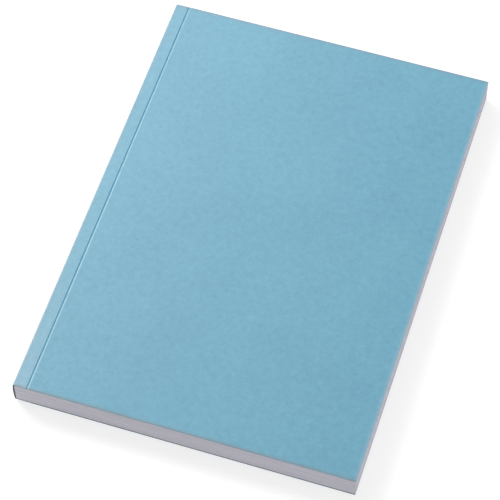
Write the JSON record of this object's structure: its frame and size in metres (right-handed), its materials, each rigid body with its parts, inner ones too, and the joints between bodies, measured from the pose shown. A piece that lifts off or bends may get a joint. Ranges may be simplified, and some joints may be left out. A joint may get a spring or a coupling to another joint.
{
  "type": "softcover notebook",
  "caption": "A5 softcover notebook: a glued block of leaves in a scored card cover, with a front and a back cover that open at their creases.",
  "frame": {"origin": "bottom centre of the closed book, on the underside of the back cover", "axes": "+X from the spine to the fore-edge, +Y from the tail to the head, +Z from the back cover to the front cover"},
  "size_m": [0.148, 0.21, 0.012],
  "materials": {
    "cover_card": "matte uncoated card, dyed through",
    "paper": "matte uncoated writing paper",
    "glue": "hot-melt binding glue, satin"
  },
  "bodies": {
    "bound_block": {"page_block": "paper", "spine_glue": "glue", "cover_spine": "cover_card"},
    "front": {"front_cover": "cover_card"},
    "back": {"back_cover": "cover_card"}
  },
  "joints": [
    {"name": "front_hinge", "type": "hinge", "parent": "bound_block", "child": "front", "pos_m": [-0.0673, 0, 0.012], "axis": [0, -1, 0], "range_deg": [0, 180]},
    {"name": "back_hinge", "type": "hinge", "parent": "bound_block", "child": "back", "pos_m": [-0.0673, 0, 0], "axis": [0, 1, 0], "range_deg": [0, 180]}
  ]
}
